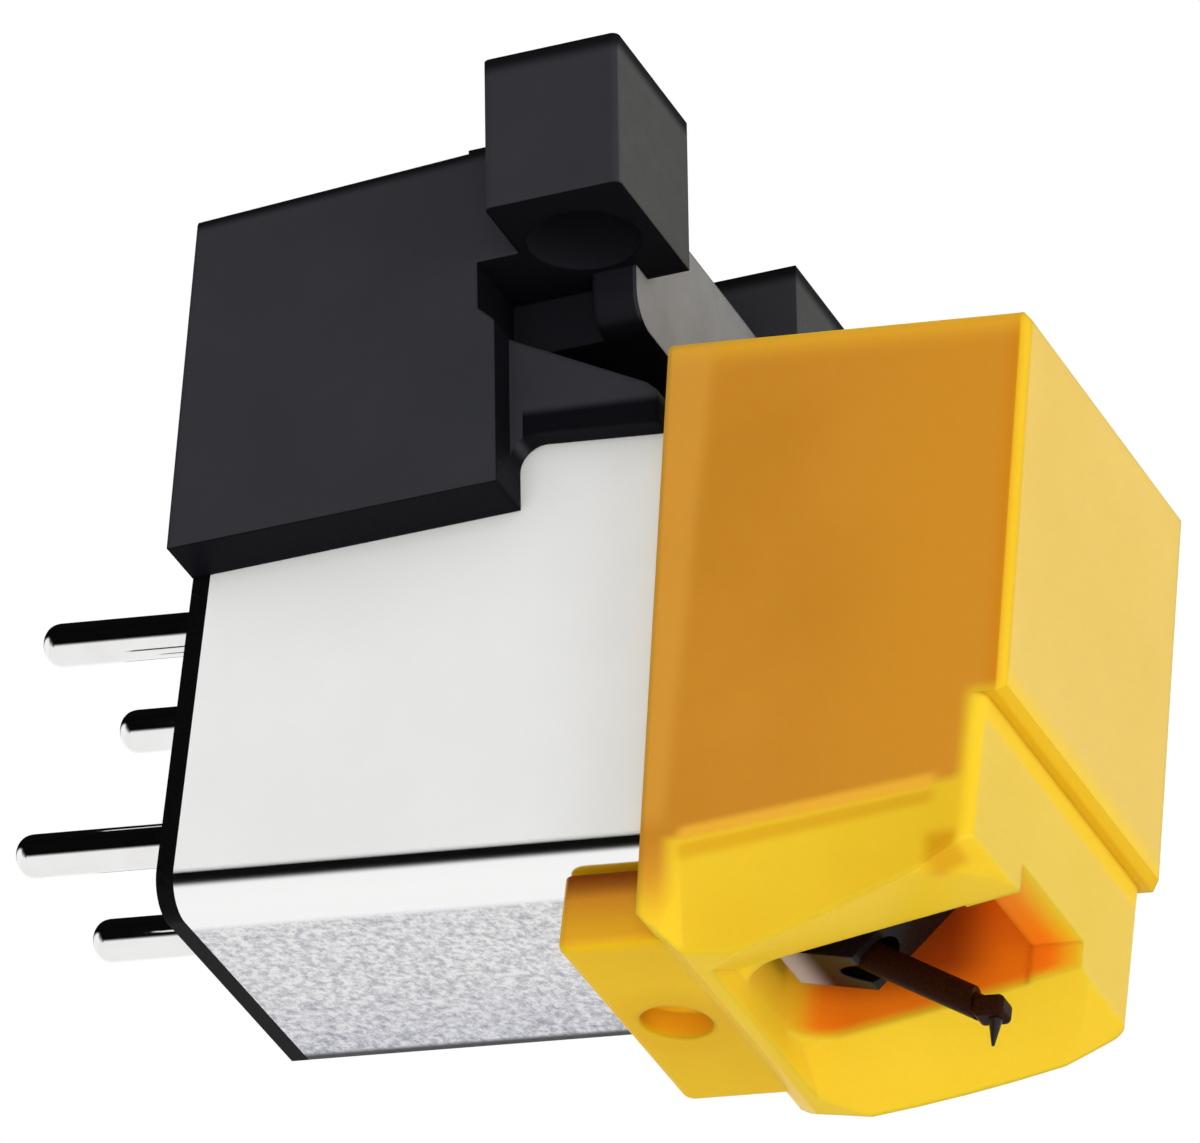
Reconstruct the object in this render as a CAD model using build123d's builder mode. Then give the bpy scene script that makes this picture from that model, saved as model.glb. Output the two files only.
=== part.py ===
from build123d import *
from math import cos, radians, sin
import os

os.makedirs("parts", exist_ok=True)

# Half-inch headshell mount: the frame's origin lies midway between the two screw holes, on the ear tops
screw_spacing = 12.7
screw_hole_d = 2.9
ear_width = 4.9
ear_front = -1.95
ear_rear = 1.75
ear_height = 4.4
ear_round = 0.2

# Black saddle that straddles the metal can
saddle_width = 12.8
skirt_top = -1.36
skirt_top_front = -1.03
skirt_lean = 0.3
skirt_bottom = -10.9
skirt_front = 2.45
skirt_step_depth = 0.45
skirt_step_z = -5.75
roof_thickness = 1.6
front_plate_y = -0.8
front_plate_thickness = 1.2
front_plate_top = -1.9
front_plate_bottom = -5.95
front_plate_round = 0.9
gusset_wall = 0.7
gusset_front = -1.6
gusset_rise = 12.27
gusset_back_z = -6.25
gusset_tip_z = -8.35
gusset_round = 0.7
gusset_nip = 0.3

# Metal can, pitched nose down from the mounting plane
can_tilt = 7.0
can_rear_y = 12.64
can_base_z = -20.15
can_width = 9.34
can_height = 13.2
can_length = 19.9
can_sheet = 0.3
can_fold = 1.05
can_edge = 0.15
can_floor_length = 13.5
can_side_length = 15.1

# Rear terminal plate and its four pins
cap_thickness = 0.47
boss_depth = 0.9
pin_d = 1.14
pin_pitch_x = 5.0
pin_pitch_z = 6.07
pin_row_z = 2.85
pin_reach = 5.0
pin_root = 0.9
pin_root_d = 0.7
pin_round = 0.45

# Coils and laminated pole pieces inside the can
frame_wall = 0.6
core_width = 1.0
core_height = 1.2
core_x = 1.9
core_z = 5.0
core_rear = -2.6
leg_rear = -10.3
pole_tip_y = -13.2
bobbin_rear = -3.4
bobbin_front = -9.6
bobbin_wall = 0.3
flange_r = 1.65
flange_thickness = 0.35
winding_inset = 0.08
shield_thickness = 0.2

# Yellow stylus holder that pulls off forward
holder_width = 11.54
holder_top = 14.27
holder_rear_top = -13.06
holder_rear_low = -13.88
holder_front_top = -22.4
holder_front_low = -22.65
holder_wall_low = -1.9
belly_y = -16.6
belly_z = -2.78
belly_break_y = -14.8
belly_break_z = -2.6
chin_break_y = -20.6
chin_break_z = -1.6
chin_z = -0.38
holder_round = 0.22
holder_corner = 0.4
panel_low = 3.51
panel_rise_top = 0.45
panel_rise_low = 0.52
panel_chamfer = 0.22
holder_front_wall = 1.15
nose_floor = 2.9
nose_step_y = -16.2
tongue_width = 9.05
tongue_rear = -11.2
tongue_low = -2.08
tongue_corner = 0.35
tongue_round = 0.25
dimple_d = 1.9
dimple_depth = 0.7
dimple_y = -12.74
bevel_full_y = -14.8
bevel_z_rear = 0.05
bevel_z_front = 1.1
bevel_in = 1.3
bevel_drop = 3.2
opening_width = 4.6
opening_rear = -15.2
opening_corner = 1.2
opening_rear_z = -1.93
opening_front_z = -0.32
flare_width = 3.6
flare_drop_rear = 1.7
flare_drop_front = 0.44
pocket_top = 2.0
notch_width = 4.4
notch_top = 0.42

# Stylus arm, leaning down at the vertical tracking angle
arm_tilt = 27.4
pivot_y = -16.69
pivot_z = -0.04
pipe_d = 0.8
pipe_bore_d = 0.55
arm_front = 5.17
arm_rear = 2.95
damper_d = 1.3
damper_half = 0.38
block_width = 1.9
block_rear = -15.78
block_rear_z = 0.0
heel_rear = -15.45
heel_z = -0.4
heel_low = -0.75
heel_chamfer = 0.15
block_break = -17.75
block_low = -1.13
block_front = -19.75
block_front_z = 1.15
magnet_from = 1.9
magnet_lip = 0.15
magnet_length = 1.0
magnet_width = 0.6
magnet_height = 0.9
magnet_splay = 45.0
magnet_holder_d = 1.1
shank_size = 0.84
shank_height = 0.56
shank_round = 0.16
spigot_length = 1.3
tip_d = 0.36
tip_forward = 0.12
tip_length = 0.715
tip_taper = 11.0

# Fits
saddle_gap = 0.03
frame_gap = 0.03
pin_gap = 0.02
holder_gap = 0.05
seat_gap = 0.03
damper_gap = 0.03
pipe_gap = 0.05
core_gap = 0.03
coil_gap = 0.02
bond_gap = 0.01
nose_gap = 0.3

# Overlap of joined forms, and how far a cut runs past the face it opens
merge = 1.0
overrun = 3.0

# Planes of the pitched can: side profiles and cross sections
tilt_c = cos(radians(can_tilt))
tilt_s = sin(radians(can_tilt))
can_side = Plane(origin=(0, can_rear_y, can_base_z), x_dir=(0, tilt_c, tilt_s), z_dir=(1, 0, 0))
can_rear = Plane(origin=(0, can_rear_y, can_base_z), x_dir=(1, 0, 0), z_dir=(0, -tilt_c, -tilt_s))
can_base = Plane(origin=(0, can_rear_y, can_base_z), x_dir=(1, 0, 0), z_dir=(0, -tilt_s, tilt_c))
forward = Axis((0, 0, 0), (0, -tilt_c, -tilt_s))
upward = Axis((0, 0, 0), (0, -tilt_s, tilt_c))

ear_x = screw_spacing / 2
ear_depth = ear_rear - ear_front
ear_mid = (ear_rear + ear_front) / 2
neck_half = ear_x - ear_width / 2
half_can = can_width / 2
half_saddle = saddle_width / 2
half_holder = holder_width / 2
sides = (("left", 1), ("right", -1))
skirt_front_high = skirt_front + skirt_step_depth
roof_low = skirt_top - roof_thickness
channel_half = half_can + saddle_gap
channel_top = can_height + saddle_gap
nose_low = nose_floor + nose_gap
skirt_rear_top = can_rear_y - (skirt_top - can_base_z) * tilt_s / tilt_c + skirt_lean
skirt_rear_low = can_rear_y - (skirt_bottom - can_base_z) * tilt_s / tilt_c
gusset_half = channel_half + gusset_wall
gusset_low_rear = can_base_z + (gusset_rise + (skirt_front - can_rear_y) * tilt_s) / tilt_c
gusset_low_front = can_base_z + (gusset_rise + (gusset_front - can_rear_y) * tilt_s) / tilt_c

# Saddle: skirts, ears, front plate and neck, one moulding
with BuildPart() as mount_saddle:
    with BuildSketch(Plane.YZ) as skirt_profile:
        with BuildLine():
            Polyline(
                (skirt_front_high, skirt_top_front),
                (skirt_rear_top, skirt_top),
                (skirt_rear_low, skirt_bottom),
                (skirt_front, skirt_bottom),
                (skirt_front, skirt_step_z - skirt_step_depth),
                (skirt_front_high, skirt_step_z),
                close=True,
            )
        make_face()
    extrude(amount=half_saddle, both=True)
    skirt_edges = mount_saddle.faces().sort_by(Axis.Z)[-1].edges().sort_by(Axis.X)
    fillet([skirt_edges[0], skirt_edges[-1]], ear_round)
    with Locations((0, (ear_mid + skirt_front_high) / 2 + ear_round, (skirt_top_front - ear_height) / 2)):
        Box(saddle_width, skirt_front_high - ear_mid, ear_height + skirt_top_front)
    with Locations((ear_x, ear_mid, -ear_height / 2), (-ear_x, ear_mid, -ear_height / 2)):
        Box(ear_width, ear_depth, ear_height)
    fillet(mount_saddle.edges().filter_by(Axis.Z).group_by(Axis.X)[0], ear_round)
    fillet(mount_saddle.edges().filter_by(Axis.Z).group_by(Axis.X)[-1], ear_round)
    with BuildSketch(Plane.XZ.offset(-front_plate_y - front_plate_thickness)) as front_plate_profile:
        with Locations((0, (front_plate_top + front_plate_bottom) / 2)):
            Rectangle(2 * channel_half, front_plate_top - front_plate_bottom)
        fillet(front_plate_profile.vertices().group_by(Axis.Y)[0], front_plate_round)
    extrude(amount=front_plate_thickness)
    with BuildSketch(Plane.YZ) as neck_profile:
        with BuildLine():
            Polyline(
                (front_plate_y + front_plate_thickness / 2, front_plate_top),
                (skirt_front_high + merge, front_plate_top),
                (skirt_front_high + merge, front_plate_bottom),
                (front_plate_y + front_plate_thickness / 2, front_plate_bottom),
                close=True,
            )
        make_face()
    extrude(amount=neck_half, both=True)
    with BuildSketch(Plane.YZ) as gusset_profile:
        with BuildLine():
            Polyline(
                (skirt_front + merge, gusset_back_z),
                (skirt_front, gusset_back_z),
                (gusset_front + gusset_nip, gusset_tip_z),
                (gusset_front, gusset_tip_z - gusset_nip),
                (gusset_front, gusset_low_front),
                (skirt_front, gusset_low_rear),
                (skirt_front, gusset_low_rear - 2 * gusset_round),
                (skirt_front + merge, gusset_low_rear - 2 * gusset_round),
                close=True,
            )
        make_face()
        fillet(gusset_profile.vertices().sort_by_distance((skirt_front, gusset_low_rear))[0], gusset_round)
    extrude(amount=gusset_half, both=True)
    with BuildSketch(can_rear.offset(-overrun)) as can_channel:
        with Locations((0, (channel_top - overrun) / 2)):
            Rectangle(2 * channel_half, channel_top + overrun)
    extrude(amount=can_length + 2 * overrun, mode=Mode.SUBTRACT)
    with BuildSketch(Plane.YZ) as roof_space:
        with BuildLine():
            Polyline(
                (skirt_front_high + merge, roof_low),
                (skirt_rear_top + overrun, roof_low),
                (skirt_rear_top + overrun, skirt_bottom),
                (skirt_front_high + merge, skirt_bottom),
                close=True,
            )
        make_face()
    extrude(amount=channel_half, both=True, mode=Mode.SUBTRACT)
    with Locations((ear_x, 0, -ear_height / 2), (-ear_x, 0, -ear_height / 2)):
        Cylinder(screw_hole_d / 2, ear_height, mode=Mode.SUBTRACT)
mount_saddle.part.label = "mount_saddle"
export_step(mount_saddle.part, "parts/mount_saddle.step")

# Folded sheet can: two sides and a floor, a wide fold on the right and a sharp seam on the left
with BuildPart() as shield_can:
    with BuildSketch(can_rear.offset(cap_thickness + bond_gap)) as can_section:
        with BuildLine():
            Polyline(
                (-half_can, can_height),
                (-half_can, 0),
                (half_can, 0),
                (half_can, can_height),
                (half_can - can_sheet, can_height),
                (half_can - can_sheet, can_sheet),
                (can_sheet - half_can, can_sheet),
                (can_sheet - half_can, can_height),
                close=True,
            )
        make_face()
        inner_corners = can_section.vertices().filter_by_position(Axis.Y, can_sheet / 2, (can_sheet + can_fold) / 2)
        fillet(inner_corners.sort_by(Axis.X)[0], can_fold - can_sheet)
        fillet(can_section.vertices().group_by(Axis.Y)[0].sort_by(Axis.X)[0], can_fold)
        fillet(can_section.vertices().group_by(Axis.Y)[0].sort_by(Axis.X)[-1], can_edge)
    extrude(amount=can_length)
    with BuildSketch(can_rear.offset(cap_thickness + can_floor_length)) as floor_cut:
        Rectangle(2 * can_width, 2 * (can_fold + can_sheet))
    extrude(amount=can_length, mode=Mode.SUBTRACT)
    with BuildSketch(can_rear.offset(cap_thickness + can_side_length)) as side_cut:
        Rectangle(2 * can_width, 2 * nose_low)
    extrude(amount=can_length, mode=Mode.SUBTRACT)
shield_can.part.label = "shield_can"
export_step(shield_can.part, "parts/shield_can.step")

# Terminal plate closing the rear of can and saddle
plate_top = (roof_low - can_base_z) / tilt_c - cap_thickness * tilt_s / tilt_c - 2 * frame_gap
half_frame = half_can - can_sheet - frame_gap
frame_low = can_sheet + frame_gap
boss_half = half_frame - frame_wall - frame_gap
with BuildPart() as terminal_plate:
    with BuildSketch(can_rear) as plate_outline:
        with Locations((0, plate_top / 2)):
            Rectangle(can_width, plate_top)
        fillet(plate_outline.vertices().group_by(Axis.Y)[0].sort_by(Axis.X)[0], can_fold)
        fillet(plate_outline.vertices().group_by(Axis.Y)[0].sort_by(Axis.X)[-1], can_edge)
    extrude(amount=cap_thickness)
    with BuildSketch(can_rear.offset(cap_thickness)) as boss_outline:
        with Locations((0, can_height / 2)):
            Rectangle(2 * boss_half, can_height - 2 * (frame_low + frame_wall + frame_gap))
    extrude(amount=boss_depth)
    with BuildSketch(can_rear) as pin_holes:
        with Locations((0, pin_row_z + pin_pitch_z / 2)):
            with GridLocations(pin_pitch_x, pin_pitch_z, 2, 2):
                Circle(pin_root_d / 2 + pin_gap)
    extrude(amount=cap_thickness + boss_depth, mode=Mode.SUBTRACT)
terminal_plate.part.label = "terminal_plate"
export_step(terminal_plate.part, "parts/terminal_plate.step")

# Four terminal pins with rounded tips, stepped down where they pass through the plate
pin_start = can_rear.offset(-pin_reach)
pin_high_z = pin_row_z + pin_pitch_z
root_length = cap_thickness + boss_depth + pin_root

for side_name, side in sides:
    for role, pin_z in (("signal", pin_high_z), ("ground", pin_row_z)):
        with BuildPart() as pin:
            with BuildSketch(pin_start):
                with Locations((side * pin_pitch_x / 2, pin_z)):
                    Circle(pin_d / 2)
            extrude(amount=pin_reach - bond_gap)
            fillet(pin.edges().filter_by(GeomType.CIRCLE).sort_by(forward)[0], pin_round)
            with BuildSketch(can_rear.offset(-bond_gap)):
                with Locations((side * pin_pitch_x / 2, pin_z)):
                    Circle(pin_root_d / 2)
            extrude(amount=root_length)
        pin.part.label = f"pin_{side_name}_{role}"
        export_step(pin.part, f"parts/pin_{side_name}_{role}.step")

# Coil frame: black moulding inside the can, open at the rear, its nose plugs into the holder
frame_rear = cap_thickness + bond_gap
frame_length = can_length
leg_depth = core_height
leg_front = leg_rear - leg_depth
frame_front_wall = leg_front - core_gap
nose_rear = frame_front_wall - 2 * frame_wall
pole_tip_z = frame_low + frame_wall + core_gap
with BuildPart() as coil_frame:
    with BuildSketch(can_rear.offset(frame_rear)) as frame_section:
        with Locations((0, (can_height + frame_low) / 2)):
            Rectangle(2 * half_frame, can_height - frame_low)
        fillet(frame_section.vertices().group_by(Axis.Y)[0], can_fold - can_sheet)
    extrude(amount=frame_length)
    with BuildSketch(can_side) as nose_cut:
        with BuildLine():
            Polyline(
                (nose_rear, nose_low),
                (nose_rear, -overrun),
                (nose_rear - can_length, -overrun),
                (nose_rear - can_length, nose_low),
                close=True,
            )
        make_face()
    extrude(amount=can_width, both=True, mode=Mode.SUBTRACT)
    with BuildSketch(can_rear.offset(frame_rear)) as coil_space:
        with Locations((0, (can_height + frame_low) / 2)):
            Rectangle(2 * (half_frame - frame_wall), can_height - frame_low - 2 * frame_wall)
    extrude(amount=-frame_front_wall - frame_rear, mode=Mode.SUBTRACT)
    with BuildSketch(can_rear.offset(-frame_front_wall)) as pole_windows:
        with Locations((core_x, pole_tip_z + core_height / 2), (-core_x, pole_tip_z + core_height / 2)):
            Rectangle(core_width + 2 * core_gap, core_height + 2 * core_gap)
    extrude(amount=frame_front_wall - nose_rear, mode=Mode.SUBTRACT)
coil_frame.part.label = "coil_frame"
export_step(coil_frame.part, "parts/coil_frame.step")

# Laminated pole pieces: a bar through the coil, a leg, and a tip facing the magnets
core_points = [
    (core_rear, core_z - core_height / 2),
    (core_rear, core_z + core_height / 2),
    (leg_front, core_z + core_height / 2),
    (leg_front, pole_tip_z + core_height),
    (pole_tip_y, pole_tip_z + core_height),
    (pole_tip_y, pole_tip_z),
    (leg_rear, pole_tip_z),
    (leg_rear, core_z - core_height / 2),
]
for side_name, side in sides:
    with BuildPart() as core:
        with BuildSketch(can_side.offset(side * core_x - core_width / 2)):
            with BuildLine():
                Polyline(*core_points, close=True)
            make_face()
        extrude(amount=core_width)
    core.part.label = f"{side_name}_core"
    export_step(core.part, f"parts/{side_name}_core.step")

# Bobbins slide on the bars and carry the windings
bobbin_length = bobbin_rear - bobbin_front
hole_width = core_width + 2 * core_gap
hole_height = core_height + 2 * core_gap
tube_r = (hole_width**2 + hole_height**2) ** 0.5 / 2 + bobbin_wall
winding_r = flange_r - winding_inset
for side_name, side in sides:
    with BuildPart() as bobbin:
        with BuildSketch(can_rear.offset(-bobbin_rear)):
            with Locations((side * core_x, core_z)):
                Circle(flange_r)
        extrude(amount=flange_thickness)
        with BuildSketch(can_rear.offset(-bobbin_rear)):
            with Locations((side * core_x, core_z)):
                Circle(tube_r)
        extrude(amount=bobbin_length)
        with BuildSketch(can_rear.offset(-bobbin_front - flange_thickness)):
            with Locations((side * core_x, core_z)):
                Circle(flange_r)
        extrude(amount=flange_thickness)
        with BuildSketch(can_rear.offset(-bobbin_rear)):
            with Locations((side * core_x, core_z)):
                Rectangle(hole_width, hole_height)
        extrude(amount=bobbin_length, mode=Mode.SUBTRACT)
    bobbin.part.label = f"{side_name}_bobbin"
    export_step(bobbin.part, f"parts/{side_name}_bobbin.step")

# Windings fill the bobbins between the flanges
coil_start = -bobbin_rear + flange_thickness + coil_gap
coil_length = bobbin_length - 2 * flange_thickness - 2 * coil_gap
for side_name, side in sides:
    with BuildPart() as coil:
        with BuildSketch(can_rear.offset(coil_start)):
            with Locations((side * core_x, core_z)):
                Circle(winding_r)
                Circle(tube_r + coil_gap, mode=Mode.SUBTRACT)
        extrude(amount=coil_length)
    coil.part.label = f"{side_name}_coil"
    export_step(coil.part, f"parts/{side_name}_coil.step")

# Centre shield keeps the two channels apart, standing on the frame's floor
shield_low = frame_low + frame_wall + seat_gap
shield_high = can_height - frame_wall - seat_gap
with BuildPart() as centre_shield:
    with BuildSketch(can_side.offset(-shield_thickness / 2)):
        with BuildLine():
            Polyline(
                (core_rear, shield_low),
                (core_rear, shield_high),
                (leg_front + seat_gap, shield_high),
                (leg_front + seat_gap, shield_low),
                close=True,
            )
        make_face()
    extrude(amount=shield_thickness)
centre_shield.part.label = "centre_shield"
export_step(centre_shield.part, "parts/centre_shield.step")

# Stylus holder: cup over the can's nose, raised front panel, tongue under the can, guarded stylus opening
cup_half = half_can + holder_gap
cup_top = can_height + holder_gap
cup_front = holder_front_top + holder_front_wall
opening_half = opening_width / 2
flare_half = opening_half + flare_width
under_holder = 2 * belly_z
tongue_length = tongue_rear - belly_break_y
flare_stations = (
    (opening_rear, opening_rear_z, flare_drop_rear),
    (holder_front_low, opening_front_z, flare_drop_front),
)
bevel_stations = (
    (holder_rear_low, bevel_z_rear, 0),
    (bevel_full_y, bevel_z_rear, bevel_in),
    (holder_front_low + holder_corner, bevel_z_front, 0),
)
with BuildPart() as stylus_holder:
    with BuildSketch(can_base.offset(tongue_low)) as tongue_outline:
        with Locations((0, tongue_rear - tongue_length / 2)):
            Rectangle(tongue_width, tongue_length)
        fillet(tongue_outline.vertices().group_by(forward)[0], tongue_corner)
    extrude(amount=-tongue_low - holder_gap)
    fillet(stylus_holder.faces().sort_by(upward)[0].edges().sort_by(forward)[:-1], tongue_round)
    with BuildSketch(can_side) as holder_profile:
        with BuildLine():
            Polyline(
                (holder_rear_top, holder_top),
                (holder_rear_low, holder_wall_low),
                (belly_break_y, belly_break_z),
                (belly_y, belly_z),
                (chin_break_y, chin_break_z),
                (holder_front_low, chin_z),
                (holder_front_low, panel_low),
                (holder_front_top, holder_top),
                close=True,
            )
        make_face()
    extrude(amount=half_holder, both=True)
    with BuildSketch(can_side) as panel_profile:
        with BuildLine():
            Polyline(
                (holder_front_top, holder_top),
                (holder_front_top - panel_rise_top, holder_top),
                (holder_front_low - panel_rise_low, panel_low),
                (holder_front_low, panel_low),
                close=True,
            )
        make_face()
    extrude(amount=half_holder, both=True)
    chamfer(stylus_holder.faces().sort_by(forward)[-1].edges(), panel_chamfer)
    top_edges = stylus_holder.faces().sort_by(upward)[-1].edges().sort_by(forward)
    fillet(top_edges[:-1], holder_round)
    fillet(stylus_holder.edges().filter_by(upward).sort_by(forward)[-2:], holder_corner)
    with BuildSketch(can_side) as cup_profile:
        with BuildLine():
            Polyline(
                (holder_rear_top + overrun, cup_top),
                (holder_rear_top + overrun, -holder_gap),
                (nose_step_y, -holder_gap),
                (nose_step_y, nose_floor),
                (cup_front, nose_floor),
                (cup_front, cup_top),
                close=True,
            )
        make_face()
    extrude(amount=cup_half, both=True, mode=Mode.SUBTRACT)
    with BuildSketch(can_base.offset(under_holder)) as opening_plan:
        with Locations((0, (opening_rear + cup_front) / 2)):
            Rectangle(opening_width, opening_rear - cup_front)
        fillet(opening_plan.vertices().group_by(Axis.Y)[-1], opening_corner)
    extrude(amount=pocket_top - under_holder, mode=Mode.SUBTRACT)
    with BuildSketch(can_rear.offset(-cup_front - merge)) as notch_section:
        with Locations((0, (notch_top + under_holder) / 2)):
            Rectangle(notch_width, notch_top - under_holder)
    extrude(amount=holder_front_wall + 2 * overrun, mode=Mode.SUBTRACT)
    for y, z, drop in flare_stations:
        with BuildSketch(can_rear.offset(-y)):
            with BuildLine():
                Polyline(
                    (-opening_half, z),
                    (opening_half, z),
                    (flare_half, z - drop),
                    (flare_half, under_holder),
                    (-flare_half, under_holder),
                    (-flare_half, z - drop),
                    close=True,
                )
            make_face()
    loft(ruled=True, mode=Mode.SUBTRACT)
    for side_name, side in sides:
        for y, z, depth in bevel_stations:
            with BuildSketch(can_rear.offset(-y)):
                with BuildLine():
                    Polyline(
                        (side * half_holder, z),
                        (side * (half_holder + merge), z),
                        (side * (half_holder + merge), z - 2 * bevel_drop),
                        (side * (half_holder - 2 * depth), z - 2 * bevel_drop),
                        close=True,
                    )
                make_face()
        loft(ruled=True, mode=Mode.SUBTRACT)
    with BuildSketch(can_base.offset(tongue_low)) as dimple:
        with Locations((0, dimple_y)):
            Circle(dimple_d / 2)
    extrude(amount=dimple_depth, mode=Mode.SUBTRACT)
stylus_holder.part.label = "stylus_holder"
export_step(stylus_holder.part, "parts/stylus_holder.step")

# Arm axis through the pivot, positive forward
arm_angle = radians(can_tilt + arm_tilt)
pivot_world = (0, can_rear_y + tilt_c * pivot_y - tilt_s * pivot_z, can_base_z + tilt_s * pivot_y + tilt_c * pivot_z)
arm = Plane(origin=pivot_world, x_dir=(1, 0, 0), z_dir=(0, -cos(arm_angle), -sin(arm_angle)))

# Bearing block in the pocket, bored along the arm for the damper
with BuildPart() as bearing_block:
    with BuildSketch(can_side.offset(-block_width / 2)):
        with BuildLine():
            Polyline(
                (block_rear, pocket_top - seat_gap),
                (block_rear, block_rear_z),
                (heel_rear, heel_z),
                (heel_rear - heel_chamfer, heel_low),
                (block_break, block_low),
                (block_front, block_front_z),
                (block_front, pocket_top - seat_gap),
                close=True,
            )
        make_face()
    extrude(amount=block_width)
    with BuildSketch(arm.offset(-arm_front)):
        Circle(damper_d / 2 + damper_gap)
    extrude(amount=2 * arm_front, mode=Mode.SUBTRACT)
bearing_block.part.label = "bearing_block"
export_step(bearing_block.part, "parts/bearing_block.step")

# Rubber damper: a ball cut flat at both ends, so the arm can swing about its centre
with BuildPart() as rubber_damper:
    with Locations(arm):
        Sphere(damper_d / 2)
        Cylinder(damper_d, 2 * damper_half, mode=Mode.INTERSECT)
        Cylinder(pipe_d / 2 + pipe_gap, 2 * damper_d, mode=Mode.SUBTRACT)
rubber_damper.part.label = "rubber_damper"
export_step(rubber_damper.part, "parts/rubber_damper.step")

# Thin pipe from the magnets, through the damper, its front end cut upright against the stylus block
shank_y = pivot_y - arm_front * cos(radians(arm_tilt))
shank_z = pivot_z - arm_front * sin(radians(arm_tilt))
shank_rear = shank_y + shank_size / 2
with BuildPart() as cantilever_pipe:
    with BuildSketch(arm.offset(-arm_rear)):
        Circle(pipe_d / 2)
        Circle(pipe_bore_d / 2, mode=Mode.SUBTRACT)
    extrude(amount=arm_rear + arm_front)
    with BuildSketch(can_rear.offset(-shank_rear - bond_gap)) as pipe_end:
        with Locations((0, shank_z)):
            Rectangle(2 * pipe_d, 4 * pipe_d)
    extrude(amount=2 * pipe_d, mode=Mode.SUBTRACT)
cantilever_pipe.part.label = "cantilever_pipe"
export_step(cantilever_pipe.part, "parts/cantilever_pipe.step")

# Magnet holder clamped on the rear of the pipe
holder_from = magnet_from - magnet_lip
with BuildPart() as magnet_holder:
    with BuildSketch(arm.offset(-magnet_from - magnet_length)):
        Circle(magnet_holder_d / 2)
        Circle(pipe_d / 2 + bond_gap, mode=Mode.SUBTRACT)
    extrude(amount=magnet_from + magnet_length - holder_from)
magnet_holder.part.label = "magnet_holder"
export_step(magnet_holder.part, "parts/magnet_holder.step")

# Two bar magnets set in a vee, one for each channel
magnet_reach = magnet_holder_d / 2 + bond_gap + magnet_width / 2
for side_name, side in sides:
    with BuildPart() as magnet:
        with BuildSketch(arm.offset(-magnet_from - magnet_length)):
            with PolarLocations(magnet_reach, 1, start_angle=90 - side * (90 - magnet_splay)):
                Rectangle(magnet_width, magnet_height)
        extrude(amount=magnet_length)
    magnet.part.label = f"{side_name}_magnet"
    export_step(magnet.part, f"parts/{side_name}_magnet.step")

# Square block at the front end carries the diamond, its spigot plugs into the pipe
with BuildPart() as stylus_shank:
    with BuildSketch(can_base.offset(shank_z - shank_height / 2)):
        with Locations((0, shank_y)):
            Rectangle(shank_size, shank_size)
    extrude(amount=shank_height)
    fillet(stylus_shank.edges(), shank_round)
    with BuildSketch(arm.offset(arm_front - spigot_length)) as spigot:
        Circle(pipe_bore_d / 2 - bond_gap)
    extrude(amount=spigot_length)
stylus_shank.part.label = "stylus_shank"
export_step(stylus_shank.part, "parts/stylus_shank.step")

# Diamond tip under the block, towards its front
with BuildPart() as diamond_tip:
    with BuildSketch(can_base.offset(shank_z - shank_height / 2 - bond_gap)):
        with Locations((0, shank_y - tip_forward)):
            Circle(tip_d / 2)
    extrude(amount=-tip_length, taper=tip_taper)
diamond_tip.part.label = "diamond_tip"
export_step(diamond_tip.part, "parts/diamond_tip.step")
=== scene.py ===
from types import SimpleNamespace

import bpy
from mathutils import Matrix, Vector

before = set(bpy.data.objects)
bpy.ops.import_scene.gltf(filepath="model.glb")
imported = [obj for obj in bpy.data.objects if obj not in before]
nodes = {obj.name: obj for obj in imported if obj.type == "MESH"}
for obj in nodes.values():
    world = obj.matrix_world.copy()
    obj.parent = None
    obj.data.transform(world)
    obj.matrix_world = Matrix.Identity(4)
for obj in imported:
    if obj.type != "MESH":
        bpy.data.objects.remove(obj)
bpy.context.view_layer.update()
scene = bpy.context.scene
scene.view_settings.view_transform = "Standard"

MM = 0.001
BEVEL_SAMPLES = 3
# Stretch of a noise over which a tone runs from its first end to its second
TONE_RANGE = (0.3, 0.7)
# Pitch of the can, and the rear end of its floor in millimetres
COS_PITCH = 0.992546
SIN_PITCH = 0.121869
CAN_REAR_Y = 12.64
CAN_FLOOR_Z = -20.15
# Part of a normal along an axis, from not facing that way to facing it
FACING_FRONT = (-0.75, -0.95)
FACING_REAR = (0.7, 0.9)
FACING_DOWN = (-0.7, -0.9)
FACING_SIDE = (0.6, 0.9)
NOT_FACING_UP = (0.8, 0.4)


# Node helpers
def new_material(name):
    mat = bpy.data.materials.new(name)
    mat.use_nodes = True
    tree = mat.node_tree
    return mat, tree, tree.nodes["Principled BSDF"]


def add(tree, kind, **values):
    node = tree.nodes.new(kind)
    for key, value in values.items():
        setattr(node, key, value)
    return node


def coords(tree, scale=(1, 1, 1)):
    tex = add(tree, "ShaderNodeTexCoord")
    mapping = add(tree, "ShaderNodeMapping")
    mapping.inputs["Scale"].default_value = scale
    tree.links.new(tex.outputs["Object"], mapping.inputs["Vector"])
    return mapping.outputs["Vector"]


def noise(tree, vector, scale, detail=3.0, roughness=0.55):
    node = add(tree, "ShaderNodeTexNoise")
    node.inputs["Scale"].default_value = scale
    node.inputs["Detail"].default_value = detail
    node.inputs["Roughness"].default_value = roughness
    tree.links.new(vector, node.inputs["Vector"])
    return node.outputs["Fac"]


def ramp(tree, fac, *stops):
    node = add(tree, "ShaderNodeValToRGB")
    elements = node.color_ramp.elements
    while len(elements) < len(stops):
        elements.new(0.5)
    for element, (pos, value) in zip(elements, stops):
        element.position = pos
        element.color = (*value, 1) if isinstance(value, tuple) else (value, value, value, 1)
    tree.links.new(fac, node.inputs["Fac"])
    return node.outputs["Color"]


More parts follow.
